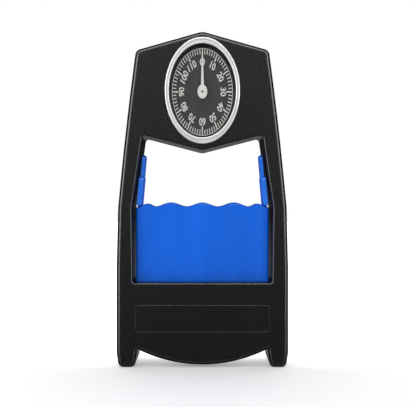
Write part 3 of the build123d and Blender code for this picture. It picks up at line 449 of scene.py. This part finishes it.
def new_piece(
    name: str,
    points: list[tuple[float, float, float]],
    faces: list[tuple[int, ...]],
    finish: Finish,
    body: Body,
) -> bpy.types.Object:
    """Make a mesh piece that rides on a body.

    Args:
        name: the piece's name.
        points: its points, in metres.
        faces: its faces, as numbers of points.
        finish: what it is made of.
        body: what it rides on.

    Returns:
        The new object.
    """
    mesh = bpy.data.meshes.new(name)
    mesh.from_pydata(points, [], faces)
    mesh.validate()
    piece = bpy.data.objects.new(name, mesh)
    bpy.context.scene.collection.objects.link(piece)
    finish.dress(piece)
    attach(piece, body.value)
    log.info("%s: %d faces, %s", name, len(faces), finish.name)
    return piece


@dataclass
class Housing:
    """The two black shells and what holds them together."""

    recess_width: float = 79.7 * MM
    recess_height: float = 15.3 * MM
    recess_z: float = 29.3 * MM
    recess_round: float = 1.5 * MM
    corner_steps: int = 6
    # the lip's section: how far outside the recess's wall and how deep behind the face, in mm
    lip: tuple[tuple[float, float], ...] = (
        (0.55, 0.01),
        (0.32, -0.03),
        (0.16, -0.04),
        (0.04, 0.00),
        (-0.04, 0.12),
        (-0.06, 0.45),
        (0.10, 0.50),
        (0.55, 0.20),
    )

    def build(self) -> None:
        """Dress the shells and their screws, and mould the recess's rounded lip."""
        for node in ("front_shell", "rear_shell"):
            carry(node, BLACK_ABS)
        carry("shell_screws", ZINC_STEEL)
        self.mould_lip()

    def recess_outline(self) -> list[tuple[float, float, float, float]]:
        """Walk round the recess in the front view.

        Returns:
            Points of the outline, each with the direction that points away from the recess.
        """
        across = self.recess_width / 2 - self.recess_round
        up = self.recess_height / 2 - self.recess_round
        outline = []
        for corner, (right, top) in enumerate(((1, 1), (-1, 1), (-1, -1), (1, -1))):
            for step in range(self.corner_steps + 1):
                turn = math.pi / 2 * (corner + step / self.corner_steps)
                out_x, out_z = math.cos(turn), math.sin(turn)
                x = right * across + self.recess_round * out_x
                z = self.recess_z + top * up + self.recess_round * out_z
                outline.append((x, z, out_x, out_z))
        return outline

    def mould_lip(self) -> None:
        """Make the soft lip that the moulding has round its recess."""
        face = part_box("front_shell")[0].y
        outline = self.recess_outline()
        points = [
            (x + out * MM * out_x, face + deep * MM, z + out * MM * out_z)
            for x, z, out_x, out_z in outline
            for out, deep in self.lip
        ]
        size = len(self.lip)
        faces = []
        for place in range(len(outline)):
            here, there = place * size, (place + 1) % len(outline) * size
            for row in range(size):
                nxt = (row + 1) % size
                faces.append((here + row, here + nxt, there + nxt, there + row))
        piece = new_piece(
            "recess_lip", points, faces, BLACK_ABS, Body.HOUSING
        )
        for polygon in piece.data.polygons:
            polygon.use_smooth = True


@dataclass
class Movement:
    """The brass movement behind the dial, with its steel screws."""

    brass_nodes: tuple[str, ...] = (
        "front_movement_plate",
        "rear_movement_plate",
        "movement_pillars",
        "front_bush",
        "rear_bush",
        "rack",
    )
    steel_nodes: tuple[str, ...] = (
        "movement_screws",
        "plate_screws",
        "dial_screws",
        "rack_screws",
        "yoke",
        "yoke_rivets",
    )

    def build(self) -> None:
        """Dress the movement's pieces."""
        for node in self.brass_nodes:
            carry(node, BRASS)
        for node in self.steel_nodes:
            carry(node, ZINC_STEEL)
        carry("pinion_arbor", DULL_BRASS)
        carry("rack_guide", WHITE_NYLON)


@dataclass
class Dial:
    """The oval dial: bezel, lens, plate, and the scale printed on it.

    The scale is drawn round and then squeezed sideways, as the oval dial in the photo is.
    """

    centre_z: float = DIAL_Z_MM * MM
    squeeze: float = 0.695
    line_radius: float = 26.6 * MM
    line_width: float = 0.42 * MM
    tick_width: float = 0.72 * MM
    major_tick_width: float = 0.95 * MM
    tick_length: float = 3.2 * MM
    major_tick_length: float = 5.2 * MM
    ticks: int = 72
    ticks_per_number: int = 6
    number_step: int = 10
    number_radius: float = 18.2 * MM
    number_height: float = 4.6 * MM
    number_spread: float = 0.9
    zero_spread: float = 1.5
    number_weight: float = 0.11 * MM
    ink_thickness: float = 0.04 * MM
    line_segments: int = 180

    def __post_init__(self) -> None:
        """Find the depth of the dial plate's face."""
        self.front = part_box("dial_plate")[0].y

    def build(self) -> None:
        """Dress the dial's solids and print the scale."""
        carry("dial_bezel", BEZEL_METAL)
        carry("dial_lens", LENS_ACRYLIC)
        carry("lens_gasket", BLACK_RUBBER)
        carry("dial_plate", DIAL_ENAMEL)
        self.print_line()
        self.print_ticks()
        for count in range(self.ticks // self.ticks_per_number):
            self.print_number(count)

    def place(self, radius: float, turn: float, depth: float) -> tuple[float, float, float]:
        """Where a point of the round scale lies on the oval dial.

        Args:
            radius: how far it is from the middle.
            turn: how far round it is, in radians, clockwise from the top.
            depth: how far it stands off the dial's face.

        Returns:
            The point.
        """
        x = radius * math.sin(turn) * self.squeeze
        return x, self.front - depth, self.centre_z + radius * math.cos(turn)

    def print_line(self) -> None:
        """Print the thin oval line that the ticks hang from."""
        points, faces = [], []
        for step in range(self.line_segments):
            turn = math.tau * step / self.line_segments
            for radius in (self.line_radius, self.line_radius - self.line_width):
                points.append(self.place(radius, turn, self.ink_thickness))
                points.append(self.place(radius, turn, 0))
        count = len(points)
        for start in range(0, count, 4):
            outer, outer_back, inner, inner_back = range(start, start + 4)
            nxt = [(corner + 4) % count for corner in (outer, outer_back, inner, inner_back)]
            faces.append((outer, inner, nxt[2], nxt[0]))
            faces.append((inner, inner_back, nxt[3], nxt[2]))
            faces.append((inner_back, outer_back, nxt[1], nxt[3]))
            faces.append((outer_back, outer, nxt[0], nxt[1]))
        new_piece("dial_line", points, faces, DIAL_INK, Body.HOUSING)

    def print_ticks(self) -> None:
        """Print the ticks, each a thin raised bar, longer where a number stands."""
        points, faces = [], []
        for step in range(self.ticks):
            turn = math.tau * step / self.ticks
            major = step % self.ticks_per_number == 0
            length = self.major_tick_length if major else self.tick_length
            half = (self.major_tick_width if major else self.tick_width) / 2
            inner = self.line_radius - self.line_width - length
            outer = self.line_radius - self.line_width / 2
            start = len(points)
            for depth in (self.ink_thickness, 0):
                for radius, side in ((inner, -1), (inner, 1), (outer, 1), (outer, -1)):
                    points.append(self.place(radius, turn + side * half / radius, depth))
            faces += [
                tuple(start + corner for corner in face)
                for face in BAR_FACES
            ]
        new_piece("dial_ticks", points, faces, DIAL_INK, Body.HOUSING)

    def print_number(self, count: int) -> None:
        """Print one number of the scale, its top turned outward.

        Args:
            count: which number it is, from the top clockwise.
        """
        words = bpy.data.curves.new(f"dial_number_{count}", "FONT")
        words.body = str(count * self.number_step)
        words.align_x = words.align_y = "CENTER"
        words.size = self.number_height / FIGURE_SHARE
        words.extrude = self.ink_thickness / 2
        words.offset = self.number_weight
        words.resolution_u = 4
        drawn = bpy.data.objects.new(f"dial_number_text_{count}", words)
        bpy.context.scene.collection.objects.link(drawn)
        bpy.context.view_layer.update()
        source = drawn.evaluated_get(bpy.context.evaluated_depsgraph_get())
        mesh = bpy.data.meshes.new_from_object(source)
        middle = sum((Vector(corner) for corner in drawn.bound_box), Vector()) / 8
        turn = math.tau * count * self.ticks_per_number / self.ticks
        points = []
        spread = self.number_spread if count else self.zero_spread
        for vertex in mesh.vertices:
            across = (vertex.co.x - middle.x) * spread
            up = vertex.co.y - middle.y
            x = across * math.cos(turn) + (self.number_radius + up) * math.sin(turn)
            z = (self.number_radius + up) * math.cos(turn) - across * math.sin(turn)
            depth = self.ink_thickness / 2 + vertex.co.z
            points.append((x * self.squeeze, self.front - depth, self.centre_z + z))
        faces = [tuple(polygon.vertices) for polygon in mesh.polygons]
        bpy.data.objects.remove(drawn)
        bpy.data.meshes.remove(mesh)
        name = f"dial_number_{count * self.number_step}"
        new_piece(name, points, faces, DIAL_INK, Body.HOUSING)


@dataclass
class Needle:
    """The light needle that turns in front of the dial."""

    def build(self) -> None:
        """Dress the needle."""
        carry("pointer", NEEDLE_ENAMEL)


@dataclass
class Grip:
    """The blue sliding grip with its carrier, and the strip that links it to the yoke."""

    def build(self) -> None:
        """Dress the grip's pieces."""
        for node in ("grip_front", "grip_rear"):
            carry(node, BLUE_ABS)
        carry("grip_cradle", BLUE_NYLON_PAINTED_HIGHLIGHT)
        for node in ("grip_screws", "stirrup", "stirrup_screws"):
            carry(node, ZINC_STEEL)
        carry("return_buffers", BLACK_RUBBER)


@dataclass
class Springs:
    """The load springs between their nylon seats and cups."""

    def build(self) -> None:
        """Dress the springs and what holds their ends."""
        for node in ("load_spring_left", "load_spring_right"):
            carry(node, SPRING_STEEL)
        for node in ("spring_cups", "spring_seats"):
            carry(node, WHITE_NYLON)


@dataclass
class Studio:
    """White floor, soft lights and the camera at the photo's place."""

    camera_distance: float = 375 * MM
    camera_height: float = 98.6 * MM
    view_width: float = 249.6 * MM
    picture_width: int = 416
    object_pixel: float = 202.4
    sensor: float = 36.0
    floor_half: float = 3.0
    # painted light: the floor glows a little in front of the object, and more behind it,
    # brightening the floor seen under the object
    painted_light_front: float = -16 * MM
    painted_light_back: float = 14 * MM
    painted_light_least: float = 0.04
    painted_light_most: float = 0.8
    even_light: float = 1.0
    # how bright gloss sees the room from the camera's side (-1) to behind the object (1)
    ring: tuple[tuple[float, float], ...] = (
        (-1.0, 0.20),
        (-0.88, 0.24),
        (-0.79, 7.0),
        (-0.64, 7.0),
        (-0.46, 0.05),
        (1.0, 0.02),
    )
    # and how much of it from below (-1) to overhead (1)
    rise: tuple[tuple[float, float], ...] = (
        (-0.32, 0.10),
        (-0.14, 0.45),
        (-0.03, 0.90),
        (0.15, 1.10),
        (0.32, 0.95),
        (0.60, 0.80),
        (1.0, 2.0),
    )
    # the white floor behind the object, as the undersides see it
    floor_gloss: float = 0.28

    # the soft lights stand in front at both sides, the left one stronger
    light_place: tuple[float, float, float] = (0.55, -0.60, 0.20)
    light_width: float = 0.30
    light_height: float = 0.70
    key_power: float = 1.4
    fill_power: float = 0.3

    def build(self) -> None:
        """Make the floor, the surroundings, the lights and the camera."""
        self.lay_floor()
        self.surround()
        x, y, z = self.light_place
        self.add_light("key", (-x, y, z), self.key_power)
        self.add_light("fill", (x, y, z), self.fill_power)
        self.aim_camera()
        bpy.context.scene.view_settings.view_transform = "Standard"

    def lay_floor(self) -> None:
        """Lay a white matt floor that gloss doesn't see, glowing with painted light that grows
        from the front of the object to its back.
        """
        half = self.floor_half
        mesh = bpy.data.meshes.new("floor")
        corners = [(-half, -half, 0), (half, -half, 0), (half, half, 0), (-half, half, 0)]
        mesh.from_pydata(corners, [], [(0, 1, 2, 3)])
        floor = bpy.data.objects.new("floor", mesh)
        bpy.context.scene.collection.objects.link(floor)
        material = bpy.data.materials.new("white studio floor")
        material.use_nodes = True
        tree = material.node_tree
        shader = tree.nodes["Principled BSDF"]
        shader.inputs["Base Color"].default_value = linear("#fcfcfc")
        shader.inputs["Specular IOR Level"].default_value = 0.0
        # the floor's glow is painted light, weak in front of the object and strong behind it
        shader.inputs["Emission Color"].default_value = linear("#ffffff")
        place = add_node(tree, "ShaderNodeTexCoord").outputs["Object"]
        parts = add_node(tree, "ShaderNodeSeparateXYZ", {"Vector": place})
        painted_floor_light = add_node(
            tree,
            "ShaderNodeMapRange",
            {
                "Value": parts.outputs["Y"],
                "From Min": self.painted_light_front,
                "From Max": self.painted_light_back,
                "To Min": self.painted_light_least,
                "To Max": self.painted_light_most,
            },
        )
        tree.links.new(painted_floor_light.outputs["Result"], shader.inputs["Emission Strength"])
        mesh.materials.append(material)
        floor.visible_glossy = False

    def surround(self) -> None:
        """Make the white surroundings, which gloss sees as a ring of light in a dark room."""
        world = bpy.data.worlds.new("white studio")
        world.use_nodes = True
        tree = world.node_tree
        direction = add_node(tree, "ShaderNodeTexCoord").outputs["Generated"]
        parts = add_node(tree, "ShaderNodeSeparateXYZ", {"Vector": direction})
        gloss = add_node(
            tree,
            "ShaderNodeMath",
            {
                0: self.graded(tree, parts.outputs["Y"], self.ring),
                1: self.graded(tree, parts.outputs["Z"], self.rise),
            },
            operation="MULTIPLY",
        )
        floor = add_node(
            tree,
            "ShaderNodeMath",
            {
                0: self.graded(tree, parts.outputs["Y"], ((0.3, 0.0), (0.8, self.floor_gloss))),
                1: self.graded(tree, parts.outputs["Z"], ((-0.12, 1.0), (-0.02, 0.0))),
            },
            operation="MULTIPLY",
        )
        seen = add_node(
            tree,
            "ShaderNodeMath",
            {0: gloss.outputs["Value"], 1: floor.outputs["Value"]},
            operation="ADD",
        )
        path = add_node(tree, "ShaderNodeLightPath")
        strength = add_node(
            tree,
            "ShaderNodeMix",
            {
                "Factor": path.outputs["Is Glossy Ray"],
                "A": self.even_light,
                "B": seen.outputs["Value"],
            },
        )
        background = tree.nodes["Background"]
        background.inputs["Color"].default_value = linear("#ffffff")
        tree.links.new(strength.outputs["Result"], background.inputs["Strength"])
        bpy.context.scene.world = world

    def graded(
        self,
        tree: bpy.types.NodeTree,
        value: bpy.types.NodeSocket,
        stops: tuple[tuple[float, float], ...],
    ) -> bpy.types.NodeSocket:
        """Turn a part of the direction to brightness, straight from stop to stop.

        Args:
            tree: the world's nodes.
            value: the part of the direction, from -1 to 1.
            stops: values with the brightness at each.

        Returns:
            The brightness.
        """
        brightness = stops[0][1]
        for (low, at_low), (high, at_high) in zip(stops, stops[1:]):
            step = add_node(
                tree,
                "ShaderNodeMapRange",
                {"Value": value, "From Min": low, "From Max": high, "To Max": at_high - at_low},
            )
            total = add_node(
                tree, "ShaderNodeMath", {0: step.outputs["Result"], 1: brightness}, operation="ADD"
            )
            brightness = total.outputs["Value"]
        return brightness

    def add_light(self, name: str, place: tuple[float, float, float], power: float) -> None:
        """Add a soft light that faces the middle of the object.

        Args:
            name: the light's name.
            place: where it stands.
            power: how strong it is, in watts.
        """
        data = bpy.data.lights.new(name, "AREA")
        data.shape = "RECTANGLE"
        data.size = self.light_width
        data.size_y = self.light_height
        data.energy = power
        light = bpy.data.objects.new(name, data)
        light.location = place
        aim = Vector((0, 0, self.camera_height)) - Vector(place)
        light.rotation_euler = aim.to_track_quat("-Z", "Y").to_euler()
        bpy.context.scene.collection.objects.link(light)

    def aim_camera(self) -> None:
        """Put the camera at the photo's place, with the object a little left of middle."""
        data = bpy.data.cameras.new("camera")
        data.sensor_width = self.sensor
        data.lens = self.sensor * self.camera_distance / self.view_width
        data.shift_x = (self.picture_width / 2 - self.object_pixel) / self.picture_width
        camera = bpy.data.objects.new("camera", data)
        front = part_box("front_shell")[0].y
        camera.location = (0, front - self.camera_distance, self.camera_height)
        camera.rotation_euler = (math.pi / 2, 0, 0)
        bpy.context.scene.collection.objects.link(camera)
        bpy.context.scene.camera = camera


def main() -> None:
    """Build the dynamometer piece by piece."""
    logging.basicConfig(level=logging.INFO, format="%(message)s")
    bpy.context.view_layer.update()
    for assembly in (Housing(), Movement(), Dial(), Needle(), Grip(), Springs(), Studio()):
        assembly.build()
        log.info("%s is done", type(assembly).__name__)


if __name__ == "__main__":
    main()
